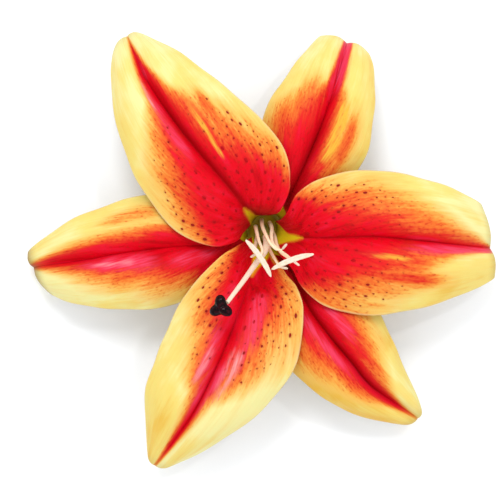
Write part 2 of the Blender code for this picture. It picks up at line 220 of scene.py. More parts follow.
COLOURING = {
    "inner_tepal_1": {
        "red": [
            (2.2, 1.2, 1.6, 1.2, 1.6), (2.6, 1.05, 1.35, 1.05, 1.45), (3, 0.88, 1.18, 0.86, 1.3),
            (3.5, 0.7, 1.04, 0.7, 1.15), (4, 0.52, 0.95, 0.52, 1.02), (4.5, 0.38, 0.84, 0.34, 0.92),
            (5, 0.24, 0.74, 0.22, 0.82), (5.5, 0.14, 0.58, 0.18, 0.66), (6, 0.12, 0.38, 0.17, 0.46),
            (6.5, 0.1, 0.2, 0.15, 0.26), (7, 0.1, 0.17, 0.13, 0.2), (7.5, 0.05, 0.13, 0.07, 0.14),
            (8.1, -0.02, 0.05, 0.0, 0.06),
        ],
        "strokes": [
            ("red", 4.3, 0.36, 6.5, 0.56, 0.22, 0.12, 0.86),
            ("gold", 4.1, 0.19, 6.4, 0.36, 0.03, 0.07, 0.56),
            ("pink", 4.4, -0.15, 7.5, -0.12, 0.08, 0.07, 0.8),
            ("pink", 3.2, -0.30, 4.8, -0.34, 0.12, 0.10, 0.35),
            ("pink", 6.7, 0.04, 7.9, 0.01, 0.10, 0.05, 0.6),
            ("cream", 5.9, -0.17, 7.2, -0.14, 0.035, 0.03, 0.6),
        ],
        "warmth": (0.25, 0.2),
        "green": ((1.2, 0.55, 0.26, 0.10, -0.04), (0.9, 0.16, 0.05, 0.02, -0.04)),
        "tip": 0.7,
        "rib": (0.85, 0.9, 1.5, 7.3),
        "fold": 0.2,
    },
    "inner_tepal_2": {
        "red": [
            (2.3, 1.2, 1.6, 1.2, 1.6), (3, 0.8, 1.22, 0.92, 1.3), (3.5, 0.6, 1.06, 0.74, 1.18),
            (4, 0.42, 0.96, 0.6, 1.14), (4.5, 0.3, 0.88, 0.42, 1.04), (5, 0.22, 0.82, 0.3, 0.94),
            (5.5, 0.16, 0.72, 0.2, 0.82), (6, 0.12, 0.62, 0.14, 0.64),
            (6.5, 0.09, 0.48, 0.14, 0.36), (7, 0.05, 0.34, 0.12, 0.24), (7.5, 0.03, 0.2, 0.12, 0.2),
            (8, 0.02, 0.07, 0.11, 0.17), (9, 0.02, 0.05, 0.1, 0.16), (10, -0.02, 0.03, 0.03, 0.08),
        ],
        "strokes": [
            ("red", 4.4, 0.40, 7.4, 0.62, 0.24, 0.10, 0.92),
            ("gold", 4.6, 0.21, 6.4, 0.28, 0.04, 0.07, 0.5),
            ("warm", 6.0, 0.6, 10.4, 0.55, 0.35, 0.5, 0.75),
            ("warm", 7.4, -0.6, 10.4, -0.6, 0.4, 0.4, 0.3),
            ("pink", 5.2, 0.12, 9.6, 0.13, 0.07, 0.10, 1.0),
            ("pink", 2.6, 0.40, 4.3, 0.34, 0.14, 0.10, 0.35),
            ("pink", 5.6, -0.05, 7.2, -0.04, 0.05, 0.03, 0.4),
        ],
        "warmth": (0.15, 0.2),
        "green": ((1.2, 0.6, 0.14, 0.07, -0.04), (1.2, 0.95, 0.36, 0.12, -0.04)),
        "tip": 0.0,
        "rib": (0.6, -0.2, 0.7, 7.8),
        "fold": 0.35,
    },
    "inner_tepal_3": {
        "red": [
            (1, 0.95, 1.3, 1.1, 1.4), (1.5, 0.75, 1.15, 0.95, 1.3), (2, 0.6, 1.08, 0.78, 1.2),
            (3, 0.52, 1.02, 0.6, 1.08), (3.5, 0.46, 0.98, 0.5, 0.98), (4, 0.38, 1.0, 0.38, 0.85),
            (4.5, 0.28, 0.9, 0.26, 0.7), (5, 0.18, 0.78, 0.17, 0.58), (5.5, 0.11, 0.62, 0.12, 0.5),
            (6, 0.07, 0.42, 0.08, 0.4), (6.5, 0.06, 0.2, 0.06, 0.22), (7.5, 0.07, 0.15, 0.06, 0.14),
            (8, 0.04, 0.1, 0.04, 0.11), (8.7, -0.02, 0.05, -0.02, 0.06),
        ],
        "strokes": [
            ("pink", 2.9, -0.30, 5.8, -0.24, 0.16, 0.13, 0.8),
            ("pink", 5.2, -0.12, 7.4, -0.08, 0.09, 0.05, 0.7),
            ("pink", 5.2, 0.12, 7.4, 0.08, 0.09, 0.05, 0.7),
            ("pink", 4.4, 0.20, 6.6, 0.20, 0.12, 0.09, 0.7),
            ("pink", 2.9, 0.30, 5.0, 0.24, 0.14, 0.12, 0.6),
            ("cream", 4.8, -0.18, 6.9, -0.24, 0.12, 0.10, 0.6),
            ("cream", 4.9, 0.18, 6.8, 0.22, 0.09, 0.09, 0.42),
            ("orange", 1.7, -0.92, 5.0, -0.80, 0.18, 0.16, 0.9),
            ("orange", 2.6, 0.98, 4.2, 0.74, 0.12, 0.10, 0.6),
            ("gold", 0.1, -0.9, 1.9, -0.95, 0.35, 0.12, 1.0),
            ("warm", 6.0, 0.6, 9.6, 0.5, 0.35, 0.5, 0.9),
            ("warm", 6.6, -0.5, 9.6, -0.5, 0.3, 0.45, 0.8),
        ],
        "warmth": (-0.3, 0.1),
        "green": ((1.2, 0.95, 0.66, 0.16, -0.04), (1.2, 0.5, 0.2, 0.04, -0.06)),
        "tip": 0.6,
        "rib": (0.4, 0.0, 0.9, 7.8),
        "fold": 0.15,
    },
    "outer_tepal_1": {
        "red": [
            (3.2, 1.2, 1.6, 0.9, 1.4), (4, 0.6, 1.25, 0.2, 1.0), (4.5, 0.42, 1.1, 0.15, 0.7),
            (5, 0.3, 0.98, 0.13, 0.5), (5.5, 0.2, 0.82, 0.12, 0.42), (6, 0.14, 0.58, 0.13, 0.32),
            (6.5, 0.11, 0.2, 0.14, 0.22), (7, 0.11, 0.17, 0.14, 0.21), (8, 0.12, 0.16, 0.19, 0.25),
            (8.7, 0.12, 0.16, 0.25, 0.31), (10, 0.08, 0.12, 0.18, 0.24),
        ],
        "strokes": [
            ("pink", 5.7, 0.03, 9.6, 0.04, 0.17, 0.18, 1.1),
            ("red", 3.9, 0.52, 6.3, 0.50, 0.26, 0.18, 0.84),
            ("gold", 3.9, 0.30, 6.6, 0.32, 0.15, 0.14, 0.7),
            ("red", 4.8, -0.36, 7.0, -0.34, 0.26, 0.2, 0.8),
            ("orange", 4.2, -0.7, 6.6, -0.5, 0.24, 0.18, 0.75),
        ],
        "warmth": (0.3, 0.5),
        "green": ((1.3, 1.3, 0.8, 0.1, -0.2), (1.3, 1.3, 0.8, 0.1, -0.2)),
        "tip": 0.0,
        "rib": (0.9, 0.0, 2.0, 6.2),
        "fold": 0.25,
    },
    "outer_tepal_2": {
        "red": [
            (3, 0.9, 1.3, 0.5, 1.1), (3.5, 0.52, 1.0, 0.32, 0.75), (4, 0.4, 0.82, 0.25, 0.52),
            (5, 0.32, 0.7, 0.22, 0.44), (6, 0.24, 0.58, 0.2, 0.42), (6.5, 0.17, 0.5, 0.21, 0.42),
            (7, 0.09, 0.44, 0.23, 0.42), (7.5, 0.06, 0.26, 0.25, 0.38), (8, 0.05, 0.1, 0.2, 0.3),
            (8.7, 0.06, 0.11, 0.2, 0.28), (10, 0.04, 0.08, 0.16, 0.22),
        ],
        "strokes": [
            ("pink", 2.2, -0.24, 5.2, -0.24, 0.14, 0.13, 0.7),
            ("pink", 4.4, -0.21, 7.6, -0.13, 0.17, 0.09, 1.0),
            ("cream", 5.0, -0.2, 7.4, -0.15, 0.11, 0.06, 0.42),
            ("red", 4.2, 0.62, 6.8, 0.60, 0.20, 0.15, 0.60),
            ("red", 4.4, -0.48, 7.4, -0.36, 0.16, 0.11, 0.6),
            ("orange", 4.4, -0.55, 7.6, -0.36, 0.12, 0.06, 0.35),
        ],
        "warmth": (0.0, 0.3),
        "green": ((1.3, 1.0, 0.1, -0.2, -0.3), (1.3, 1.0, 0.1, -0.2, -0.3)),
        "tip": 0.2,
        "rib": (0.35, 0.0, 0.8, 5.0),
        "fold": 0.75,
    },
    "outer_tepal_3": {
        "red": [
            (3.2, 1.1, 1.5, 0.9, 1.5), (4, 0.7, 1.2, 0.4, 1.1), (4.5, 0.5, 0.95, 0.3, 0.96),
            (5, 0.36, 0.8, 0.24, 0.86), (5.5, 0.24, 0.68, 0.21, 0.76), (6, 0.19, 0.62, 0.2, 0.62),
            (6.5, 0.15, 0.5, 0.19, 0.48), (7, 0.13, 0.38, 0.15, 0.38), (7.5, 0.09, 0.17, 0.1, 0.2),
            (8, 0.02, 0.08, 0.04, 0.11), (8.5, -0.02, 0.04, -0.01, 0.05),
        ],
        "strokes": [
            ("pink", 3.2, 0.20, 7.2, 0.15, 0.10, 0.07, 1.0),
            ("pink", 3.8, -0.34, 6.0, -0.26, 0.13, 0.09, 0.85),
            ("orange", 4.2, 0.44, 6.8, 0.40, 0.14, 0.10, 0.85),
            ("orange", 5.2, -0.45, 7.0, -0.34, 0.12, 0.08, 0.6),
        ],
        "warmth": (0.45, 0.95),
        "green": ((1.3, 0.8, 0.0, -0.2, -0.3), (1.3, 0.8, 0.0, -0.2, -0.3)),
        "tip": 0.8,
        "rib": (0.85, -0.6, 1.5, 8.3),
        "fold": 0.25,
    },
}

# Raised spots: many small ones round the edge of the red, and fewer, longer ones inside it. Width
# and rise are shares of the radius, and seat is a share of the blade's thickness.
EDGE_SPOT_RADIUS = (0.20 * MM, 0.56 * MM)
CORE_SPOT_RADIUS = (0.30 * MM, 0.58 * MM)
EDGE_SPOT_SPACING = 2.0 * MM
CORE_SPOT_SPACING = 3.3 * MM
SPACING_PER_RADIUS = 1.6
EDGE_SPOT_STRETCH = (1.0, 1.6)
CORE_SPOT_STRETCH = (1.5, 2.6)
SPOT_WIDTH, SPOT_RISE, SPOT_SEAT = 0.85, 0.5, 0.42
SPOT_AHEAD = 0.05
STAIN_FROM, STAIN_OVER = 0.8, 1.6

# Where spots may be: stations, places across and how red, and which tries are kept
SPOT_TRIES = 2000
SPOT_SEED, STRETCH_SEED = 40, 7
SPOT_STATIONS = (2.0, 5.8)
SPOT_ACROSS = 0.97
SPOT_SHARES = (0.12, 0.92)
LEAST_RED, CORE_RED = 0.12, 0.95
SPOT_START, SPOT_START_SLOPE = 2.2, 0.5
CORE_KEPT, CORE_LAST_STATION = 0.55, 4.8
PINK_KEPT, PINK_COVER = 0.4, 0.5
SMALL_SPOTS = 1.6
SPOTS_SHRINK, SHRINK_FROM, SHRINK_OVER = 0.3, 4.6, 1.2

# Anthers and filaments. Furrow and seam are the grooves above and below, as shares of the radius.
ANTHER_LENGTH = 16 * MM
ANTHER_RADIUS = 1.0 * MM
ANTHER_FLATNESS = 0.64
ANTHER_BOW = 0.05
FURROW_DEPTH, SEAM_DEPTH, FURROW_WIDTH = 0.36, 0.2, 0.28
POLLEN_GRAIN = 0.03
SMALL_ANTHER_LENGTH = 3.6 * MM
SMALL_ANTHER_RADIUS = 0.45 * MM
FILAMENT_FOOT_RADIUS = 0.8 * MM
FILAMENT_TIP_RADIUS = 0.35 * MM
SEAT_GAP = 0.3 * MM

# Each stamen: whether its anther is full grown, how far the anther reaches from the filament's tip
# (x and y in pixels, height in mm), and the filament's path (the same)
STAMENS = [
    (True, (23.5, 34, -0.5), [
        (255.7, 226, 9), (256, 228, 18), (257, 233, 26), (259, 241, 34), (262, 250, 43),
        (260, 257, 50),
    ]),
    (False, (-7, 3.6, 3.5), [
        (258, 234, 9), (256.5, 240, 18), (255.5, 246.5, 28), (255.5, 250.5, 36.5),
        (256.5, 254, 43.5),
    ]),
    (True, (41, -15, 0.5), [
        (270, 222, 9), (272, 228, 19), (271.5, 236, 27), (273, 244, 33), (279, 250, 38),
        (286, 255, 44), (291, 259.5, 49.5),
    ]),
    (False, (8, 6, 1.5), [
        (272.3, 230, 9), (275, 237, 19), (277, 245, 25), (280.5, 252, 31), (286, 256.5, 35.5),
        (291, 259.5, 38.5),
    ]),
    (False, (9, 1.5, 3), [
        (266.2, 236.5, 9), (268, 243, 18), (270, 250, 25), (273.5, 257, 31), (277, 263, 37),
        (279.5, 267, 40),
    ]),
    (False, (6, -7, 3), [
        (262, 219.5, 9), (262.5, 226, 20), (265.5, 234, 30), (270, 243, 37), (275.5, 249, 42),
        (281, 250, 45),
    ]),
]

# Pistil: paths (x and y in pixels, height in mm), and widths along them as shares of the radius
STYLE_RADIUS = 1.1 * MM
STYLE_PATH = [
    (265.9, 237, 23.5), (266.5, 243, 30), (264, 252, 36.5), (256, 263, 42.5), (243, 281, 49.5),
    (227.6, 301.4, 55.4),
]
STYLE_WIDTHS = (1.1, 1.15, 1.1, 0.95, 0.8, 0.65)
OVARY_RADIUS = 1.9 * MM
OVARY_PATH = [(264, 229, 9), (264.5, 231.5, 14), (265.3, 234.5, 19), (265.8, 236.5, 23)]
OVARY_WIDTHS = (0.85, 1.0, 1.0, 0.7)
STIGMA_RADIUS = 4.2 * MM
STIGMA_PLACE = (221.5, 306, 56.5)
STIGMA_FACING = Vector((-0.35, -0.2, 0.9))
STIGMA_TURN = math.radians(31)
STIGMA_REACH, STIGMA_LOBES = 0.86, 0.24
STIGMA_DEPTH, STIGMA_SWELL = 0.5, 0.12

# Receptacle and pedicel: (radius, height) in mm down the outside
RECEPTACLE_PROFILE = [
    (0, 8.5), (5.4, 8.5), (5.6, 6.5), (7.4, 6.5), (7.1, 5.4), (4.6, 3.8), (2.9, 2.8), (2.6, 1.9),
    (2.6, 0.8), (0, 0.8),
]
THROAT_FLOOR = 6.1 * MM

# Paints in sRGB, as they look in the studio. The light there is brighter than one, so a paint
# reflects less.
PAINT_DEPTH = 0.72
# Painted light: filaments get a brighter paint than other parts, to make up for the throat's shade
FILAMENT_BRIGHTENED_DEPTH = 0.95
CREAM = (251, 242, 166)
YELLOW = (250, 226, 124)
RIM_CREAM = (255, 228, 176)
GOLD = (245, 191, 66)
PEACH = (253, 208, 116)
APRICOT = (251, 180, 74)
ORANGE = (246, 114, 38)
SCARLET = (232, 50, 34)
RUST = (204, 44, 26)
CRIMSON = (238, 4, 30)
ROSE = (244, 26, 58)
# Painted sheen highlights: a pink and a pinkish white, laid on the red
PINK_SHEEN = (248, 72, 108)
BLUSH_SHEEN = (252, 172, 172)
DARK_RED = (160, 0, 6)
# Painted shade: a brown band where a petal's tip folds under
FOLD_SHADE_BROWN = (140, 96, 30)
MAROON = (156, 22, 20)
DULL_CRIMSON = (184, 4, 18)
NECTARY_GREEN = (252, 230, 30)
NECTARY_FRINGE = (253, 176, 40)
# Painted shade: a darker olive laid deep in the throat, over the nectaries' green and the
# receptacle's top
THROAT_SHADE_OLIVE = (172, 146, 20)
BACK_YELLOW = (236, 220, 140)
BACK_GREEN = (160, 178, 84)
BACK_ROSE = (214, 100, 92)
IVORY = (253, 236, 218)
PALE_IVORY = (248, 226, 198)
STAMEN_CREAM = (255, 244, 206)
STAMEN_PINK = (252, 222, 186)
STYLE_IVORY = (255, 242, 212)
STYLE_PINK = (252, 220, 198)
OVARY_GREEN = (120, 130, 40)
OVARY_YELLOW = (164, 164, 66)
STEM_GREEN = (104, 140, 60)
PALE_GREEN = (190, 204, 130)
INK = (15, 2, 6)
WINE = (62, 4, 20)
FLOOR_GREY = (242, 245, 249)
FLOOR_WHITE = (246, 249, 253)

# How far apart in the noise the petals' streaks are
BLADE_APART = 7.3

# How far red, green and blue light go into the tissue
SCATTER_SHARES = (1.0, 0.45, 0.3)
SCATTER_DEPTH = 1 * MM

# Studio: the floor's size, the sky's strength, and each lamp's place, size and power
FLOOR_SIZE = 6
SKY_STRENGTH = 1.1
LAMPS = {
    "key": ((-0.12, 0.5, 1.0), 0.35, 4.5),
    "fill": ((0.5, -0.3, 1.1), 0.8, 1.5),
    "sparkle": ((0.3, 0.25, 0.9), 0.05, 0.8),
}

# The camera's distance from the level that it is set for, and that level's height
CAMERA_DISTANCE = 1.0
CAMERA_LEVEL = 30 * MM
SENSOR_WIDTH_MM = 36


def linear(paint, depth=PAINT_DEPTH):
    """A paint's linear colour."""
    return tuple(depth * ((c / 255 + 0.055) / 1.055) ** 2.4 for c in paint) + (1,)


def plan(points_px):
    """Points of the top view, in metres from the origin."""
    points = np.asarray(points_px, float)
    middle = np.array(VIEW_MIDDLE_PX)
    return (points - middle) * np.array([PIXEL, -PIXEL])


def placed(x_px, y_px, height_mm):
    x, y = plan((x_px, y_px))
    return Vector((x, y, height_mm * MM))


def smooth(values, stations):
    """The smooth curve (Catmull-Rom) through values at stations 0, 1, 2 and on."""
    values = np.asarray(values, float)
    stations = np.asarray(stations, float)
    i = np.clip(stations.astype(int), 0, len(values) - 2)
    f = (stations - i).reshape(stations.shape + (1,) * (values.ndim - 1))
    before = 2 * values[0] - values[1]
    after = 2 * values[-1] - values[-2]
    run = np.concatenate([[before], values, [after]])
    a, b, c, d = (run[i + k] for k in range(4))
    return (
        b
        + (c - a) * (0.5 * f)
        + (2 * a - 5 * b + 4 * c - d) * (0.5 * f**2)
        + (3 * b - a - 3 * c + d) * (0.5 * f**3)
    )


def ease(x):
    x = np.clip(x, 0, 1)
    return x * x * (3 - 2 * x)


def round_the_axis(start, end, share, height):
    """Points that share of the way from start to end on an arc round the tube's axis, in plan."""
    up = (height - TUBE_FOOT_HEIGHT) / (TUBE_MOUTH_HEIGHT - TUBE_FOOT_HEIGHT)
    up = np.clip(up, 0, TUBE_REACH)[:, None]
    axis = plan(TUBE_FOOT_PX) * (1 - up) + plan(TUBE_MOUTH_PX) * up
    a, b = start - axis, end - axis
    cross = a[:, 0] * b[:, 1] - a[:, 1] * b[:, 0]
    turn = np.arctan2(cross, (a * b).sum(axis=1)) * share
    reach = np.linalg.norm(a, axis=1)
    radius = reach + (np.linalg.norm(b, axis=1) - reach) * share
    bearing = np.arctan2(a[:, 1], a[:, 0]) + turn
    return axis + radius[:, None] * np.column_stack([np.cos(bearing), np.sin(bearing)])


class Petal:
    """The middle surface of a petal and its colouring.

    Places on it are stations (0 to 10) and how far across (-1 left margin, 1 right margin).
    """

    def __init__(self, name, number):
        self.name = name
        self.number = number
        self.inner = name.startswith("inner")
        self.slot = "inner_tepal" if self.inner else "outer_tepal"
        self.midrib = plan(SHAPES[name]["midrib"])
        self.left = plan(SHAPES[name]["left"])
        self.right = plan(SHAPES[name]["right"])
        self.height = INNER_HEIGHT if self.inner else OUTER_HEIGHT
        self.droop = INNER_DROOP if self.inner else OUTER_DROOP
        self.colouring = COLOURING[name]

    def margin(self, station, across):
        on_right = across[:, None] >= 0
        return np.where(on_right, smooth(self.right, station), smooth(self.left, station))

    def ruled(self, station, across):
        share = np.abs(across)
        middle = smooth(self.midrib, station)
        margin = self.margin(station, across)
        drop = smooth(self.droop, station) * share**2
        height = (smooth(self.height, station) - drop) * MM
        height = np.maximum(height, BLADE_THICKNESS / 2)
        out = ease((station - MOUTH_STATION) / (BLADE_STATION - MOUTH_STATION))[:, None]
        straight = middle + (margin - middle) * share[:, None]
        flat = round_the_axis(middle, margin, share, height) * (1 - out) + straight * out
        return np.column_stack([flat, height])

    def normal(self, station, across):
        high = np.minimum(LAST_STATION, station + NORMAL_STEP)
        low = np.maximum(0, station - NORMAL_STEP)
        along = self.ruled(high, across) - self.ruled(low, across)
        right = np.minimum(1, across + NORMAL_STEP)
        left = np.maximum(-1, across - NORMAL_STEP)
        over = self.ruled(station, right) - self.ruled(station, left)
        normal = np.cross(over, along)
        return normal / np.linalg.norm(normal, axis=1)[:, None]

    def from_midrib(self, station, across):
        half = self.margin(station, across) - smooth(self.midrib, station)
        return np.abs(across) * np.linalg.norm(half, axis=1)

    def ripple(self, station, across):
        """Low waves, strongest at the margins and gone in the tube and under the fold."""
        body = ease((station - WAVES_RISE) / WAVES_RISE_OVER)
        body *= 1 - ease((station - WAVES_FADE) / WAVES_FADE_OVER)
        phase = self.number * PETAL_PHASE
        wide = np.sin(1.9 * station + phase) * np.sin(2.6 * across + 0.8 * phase)
        ruffle = np.sin(5.3 * station + 2.1 * phase + 1.5 * np.sign(across)) * np.abs(across) ** 5
        return body * (WAVE_MM * wide + RUFFLE_MM * ruffle) * MM

    def point(self, station, across):
        share = np.abs(across)
        lobe = smooth(LOBE, station) * np.sin(math.pi * share**LOBE_CREST)
        from_midrib = self.from_midrib(station, across)
        groove = smooth(GROOVE, station) * np.exp(-((from_midrib / GROOVE_HALF_WIDTH) ** 2))
        swell = (lobe - groove) * MM + self.ripple(station, across)
        return self.ruled(station, across) + self.normal(station, across) * swell[:, None]

    def stroke(self, kind, station, across):
        """How strongly the strokes of one kind cover each place."""
        total = np.zeros_like(station)
        for row in self.colouring["strokes"]:
            paint, start, from_across, end, to_across, from_width, to_width, strength = row
            if paint != kind:
                continue
            t = np.clip((station - start) / (end - start), 0, 1)
            centre = from_across + (to_across - from_across) * t
            width = from_width + (to_width - from_width) * t
            ends = ease(t / STROKE_START) * ease((1 - t) / STROKE_END)
            cover = strength * ends * np.exp(-(((across - centre) / width) ** 2))
            total = np.maximum(total, cover)
        return total

    def red(self, station, across):
        """How red each place is: 1 or more where the red is full, and 0 or less on the yellow."""
        stations, *profiles = zip(*self.colouring["red"])
        left_full, left_end, right_full, right_end = (
            np.interp(station, stations, profile) for profile in profiles
        )
        on_right = across >= 0
        full = np.where(on_right, right_full, left_full)
        end = np.where(on_right, right_end, left_end)
        level = np.clip((end - np.abs(across)) / (end - full), YELLOW_LEVEL, RED_LEVEL)
        stroke = self.stroke("red", station, across)
        return np.maximum(level, RED_STROKE_REACH * stroke - RED_STROKE_EDGE)

    # The dark midrib line: mostly the petal's own dark red, partly painted shade in the groove
    def dark_rib(self, station, across):
        strength, offset, half_width, end = self.colouring["rib"]
        aside = self.from_midrib(station, across) * np.sign(across) / MM - offset
        fading = ease((station - end + RIB_FADE) / RIB_FADE)
        return strength * np.exp(-((aside / half_width) ** 2)) * (1 - fading)

    def green(self, station, across):
        """How far inside the green wedge of the throat each place is."""
        left, right = self.colouring["green"]
        step = np.minimum(station * GREEN_STEPS, len(left) - 1)
        edge = np.where(across >= 0, smooth(right, step), smooth(left, step))
        return edge - np.abs(across) - GREEN_CLOSING * np.maximum(0, station - MOUTH_STATION)


def deselect():
    for obj in bpy.context.selected_objects:
        obj.select_set(False)


def added(name):
    """The object that an operator has just added, under its own name."""
    obj = bpy.context.object
    obj.name = obj.data.name = name
    return obj


def activate(obj):
    deselect()
    obj.select_set(True)
    bpy.context.view_layer.objects.active = obj


def vertices(mesh):
    points = np.empty(len(mesh.vertices) * 3, np.float32)
    mesh.vertices.foreach_get("co", points)
    return points.reshape(-1, 3).astype(float)


def set_vertices(mesh, points):
    mesh.vertices.foreach_set("co", np.ascontiguousarray(points, np.float32).ravel())
    mesh.update()


def write_attribute(mesh, name, values):
    layer = mesh.attributes.new(name, "FLOAT", "POINT")
    layer.data.foreach_set("value", np.ascontiguousarray(values, np.float32))


def smooth_and_ride(obj):
    """Smooth shading, and a place on the part's one body."""
    smooth_faces = np.ones(len(obj.data.polygons), bool)
    obj.data.polygons.foreach_set("use_smooth", smooth_faces)
    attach(obj, "root")


def take_the_place_of(obj, node):
    """Kept inside the node's box, this piece stands in for the node."""
    low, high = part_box(node)
    set_vertices(obj.data, np.clip(vertices(obj.data), np.array(low), np.array(high)))
    smooth_and_ride(obj)
    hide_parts(node)


def spot_places(petal):
    """A petal's spots, at random and kept apart: (station, across, radius, in the core)."""
    draw = random.Random(SPOT_SEED + petal.number)
    nearest, farthest = SPOT_SHARES
    chosen = []
    places = []
    for _ in range(SPOT_TRIES):
        station = draw.uniform(*SPOT_STATIONS)
        across = draw.uniform(-SPOT_ACROSS, SPOT_ACROSS)
        size = draw.random()
        keep = draw.random()
        here = np.array([station]), np.array([across])
        share = abs(across)
        red = petal.red(*here)[0]
        core = red > CORE_RED
        start = SPOT_START + SPOT_START_SLOPE * max(0, 0.5 - share)
        if not nearest < share < farthest or red < LEAST_RED or station < start:
            continue
        if core and (keep > CORE_KEPT or station > CORE_LAST_STATION):
            continue
        # Fewer spots are kept under the painted pink sheen
        if petal.stroke("pink", *here)[0] > PINK_COVER and keep > PINK_KEPT:
            continue
        small, large = CORE_SPOT_RADIUS if core else EDGE_SPOT_RADIUS
        radius = small + (large - small) * size**SMALL_SPOTS
        radius *= 1 - SPOTS_SHRINK * float(ease((station - SHRINK_FROM) / SHRINK_OVER))
        spacing = CORE_SPOT_SPACING if core else EDGE_SPOT_SPACING + SPACING_PER_RADIUS * radius
        point = petal.point(*here)[0]
        if any(np.linalg.norm(point - other) < spacing for other in places):
            continue
        places.append(point)
        chosen.append((station, across, radius, core))
    return chosen, np.array(places)


def write_colouring(petal, mesh, station, across):
    """What the petal's materials read at each point."""
    share = np.abs(across)
    # Warmth: partly the blade's own gold, partly painted shade where margins and ends turn down and
    # away from the light
    left, right = petal.colouring["warmth"]
    warmth = np.where(across < 0, left, right) + petal.stroke("warm", station, across)
    warmth += SHADED_WARM_RIM * ease((share - WARM_RIM_FROM) / WARM_RIM_OVER)
    warmth -= PALE_END * ease((station - PALE_END_FROM) / PALE_END_OVER)
    fields = {
        "station": station,
        "across": across,
        "vein": across - np.sign(across) * VEIN_SPREAD * (station - BLADE_STATION),
        "blade": np.full(len(station), float(petal.number)),
        "red": petal.red(station, across),
        "green": petal.green(station, across),
        "warmth": warmth,
        "faded": petal.colouring["tip"] * ease((station - FADED_FROM) / FADED_OVER),
        "fold": np.full(len(station), petal.colouring["fold"]),
        "rib": petal.dark_rib(station, across),
        "keel": petal.from_midrib(station, across) / MM,
    }
    # Stroke masks; the pink and the pinkish white ones are painted sheen highlights
    for kind in ("pink", "cream", "gold", "orange"):
        fields[kind] = petal.stroke(kind, station, across)
    for name, values in fields.items():
        write_attribute(mesh, name, values)


def write_stain(mesh, points, chosen, places):
    """The stain that each spot leaves round itself."""
    stain = np.zeros(len(points))
    for place, spot in zip(places, chosen):
        near = np.linalg.norm(points - place, axis=1)
        stain = np.maximum(stain, 1 - ease((near / spot[2] - STAIN_FROM) / STAIN_OVER))
    write_attribute(mesh, "stain", stain)


def thicken(obj, share):
    """A blade with its thickness, which thins towards the margin."""
    thinning = 1 - MARGIN_THINNESS
    group = obj.vertex_groups.new(name="thickness")
    weights = 1 - thinning * share**3
    for level in range(THICKNESS_STEPS + 1):
        weight = MARGIN_THINNESS + thinning * level / THICKNESS_STEPS
        members = np.nonzero(np.abs(weights - weight) <= thinning / (2 * THICKNESS_STEPS))[0]
        group.add([int(i) for i in members], weight, "REPLACE")
    solid = obj.modifiers.new("Thickness", "SOLIDIFY")
    solid.thickness = BLADE_THICKNESS
    solid.offset = 0
    solid.vertex_group = "thickness"
    solid.material_offset = 1
    activate(obj)
    bpy.ops.object.modifier_apply(modifier="Thickness")


def make_petal(petal, face, back):
    """A petal from a flat grid, painted and thickened, and where its spots are."""
    deselect()
    bpy.ops.mesh.primitive_grid_add(
        x_subdivisions=CELLS_ACROSS,
        y_subdivisions=CELLS_ALONG,
        size=2,
    )
    obj = added(petal.name + "_blade")
    mesh = obj.data
    flat = vertices(mesh)
    across = flat[:, 0]
    along = (flat[:, 1] + 1) / 2
    station = LAST_STATION * along - END_CROWDING * np.sin(2 * math.pi * along)
    station = np.clip(station, 0, LAST_STATION)
    points = petal.point(station, across)
    points[:, 2] = np.maximum(points[:, 2], BLADE_THICKNESS / 2)
    set_vertices(mesh, points)
    write_colouring(petal, mesh, station, across)
    chosen, places = spot_places(petal) if petal.inner else ([], np.empty((0, 3)))
    write_stain(mesh, points, chosen, places)
    mesh.materials.append(face)
    mesh.materials.append(back)
    thicken(obj, np.abs(across))
    take_the_place_of(obj, petal.name)
    return chosen, places


def make_spots(petal, chosen, places, material):
    """Raised spots: one dome is modelled, and each spot is a copy of it, sized and set in place."""
    deselect()
    bpy.ops.mesh.primitive_uv_sphere_add(segments=10, ring_count=6, radius=1)
    dome = added("spot")
    dome.data.materials.append(material)
    station = np.array([spot[0] for spot in chosen])
    across = np.array([spot[1] for spot in chosen])
    normals = petal.normal(station, across)
    ahead = petal.point(station + SPOT_AHEAD, across) - petal.point(station, across)
    draw = random.Random(STRETCH_SEED + petal.number)
    copies = []
    for (_, _, radius, core), place, normal, forward in zip(chosen, places, normals, ahead):
        copy = dome.copy()
        copy.data = dome.data.copy()
        bpy.context.collection.objects.link(copy)
        write_attribute(copy.data, "dull", np.full(len(copy.data.vertices), 1.0 if core else 0.0))
        up = Vector(normal).normalized()
        side = up.cross(Vector(forward)).normalized()
        along = side.cross(up)
        stretch = draw.uniform(*(CORE_SPOT_STRETCH if core else EDGE_SPOT_STRETCH))
        size = Matrix.Diagonal((radius * stretch, radius * SPOT_WIDTH, radius * SPOT_RISE, 1))
        turn = Matrix((along, side, up)).transposed().to_4x4()
        seat = Vector(place) + up * (BLADE_THICKNESS * SPOT_SEAT)
        copy.data.transform(Matrix.Translation(seat) @ turn @ size)
        copies.append(copy)
    bpy.data.objects.remove(dome)
    activate(copies[0])
    for copy in copies:
        copy.select_set(True)
    bpy.ops.object.join()
    smooth_and_ride(added(petal.name + "_spots"))


def make_strand(name, path, radii, material, node, samples):
    """A round strand through path, as thick along it as radii."""
    curve = bpy.data.curves.new(name, "CURVE")
    curve.dimensions = "3D"
    curve.bevel_depth = 1
    curve.bevel_resolution = 6
    curve.use_fill_caps = True
    curve.materials.append(material)
    spline = curve.splines.new("POLY")
    spline.points.add(samples - 1)
    stations = (0.5 - 0.5 * np.cos(np.linspace(0, math.pi, samples))) * (len(path) - 1)
    centres = smooth([tuple(p) for p in path], stations)
    widths = smooth(radii, stations)
    for point, centre, width in zip(spline.points, centres, widths):
        point.co = (*centre, 1)
        point.radius = width
    obj = bpy.data.objects.new(name, curve)
    bpy.context.collection.objects.link(obj)
    activate(obj)
    bpy.ops.object.convert(target="MESH")
    take_the_place_of(added(name), node)


def make_filament(number, route, material):
    path = [placed(*p) for p in route]
    radii = np.linspace(FILAMENT_FOOT_RADIUS, FILAMENT_TIP_RADIUS, len(path))
    node = f"filament_{number}"
    make_strand(node + "_strand", path, radii, material, node, samples=48)


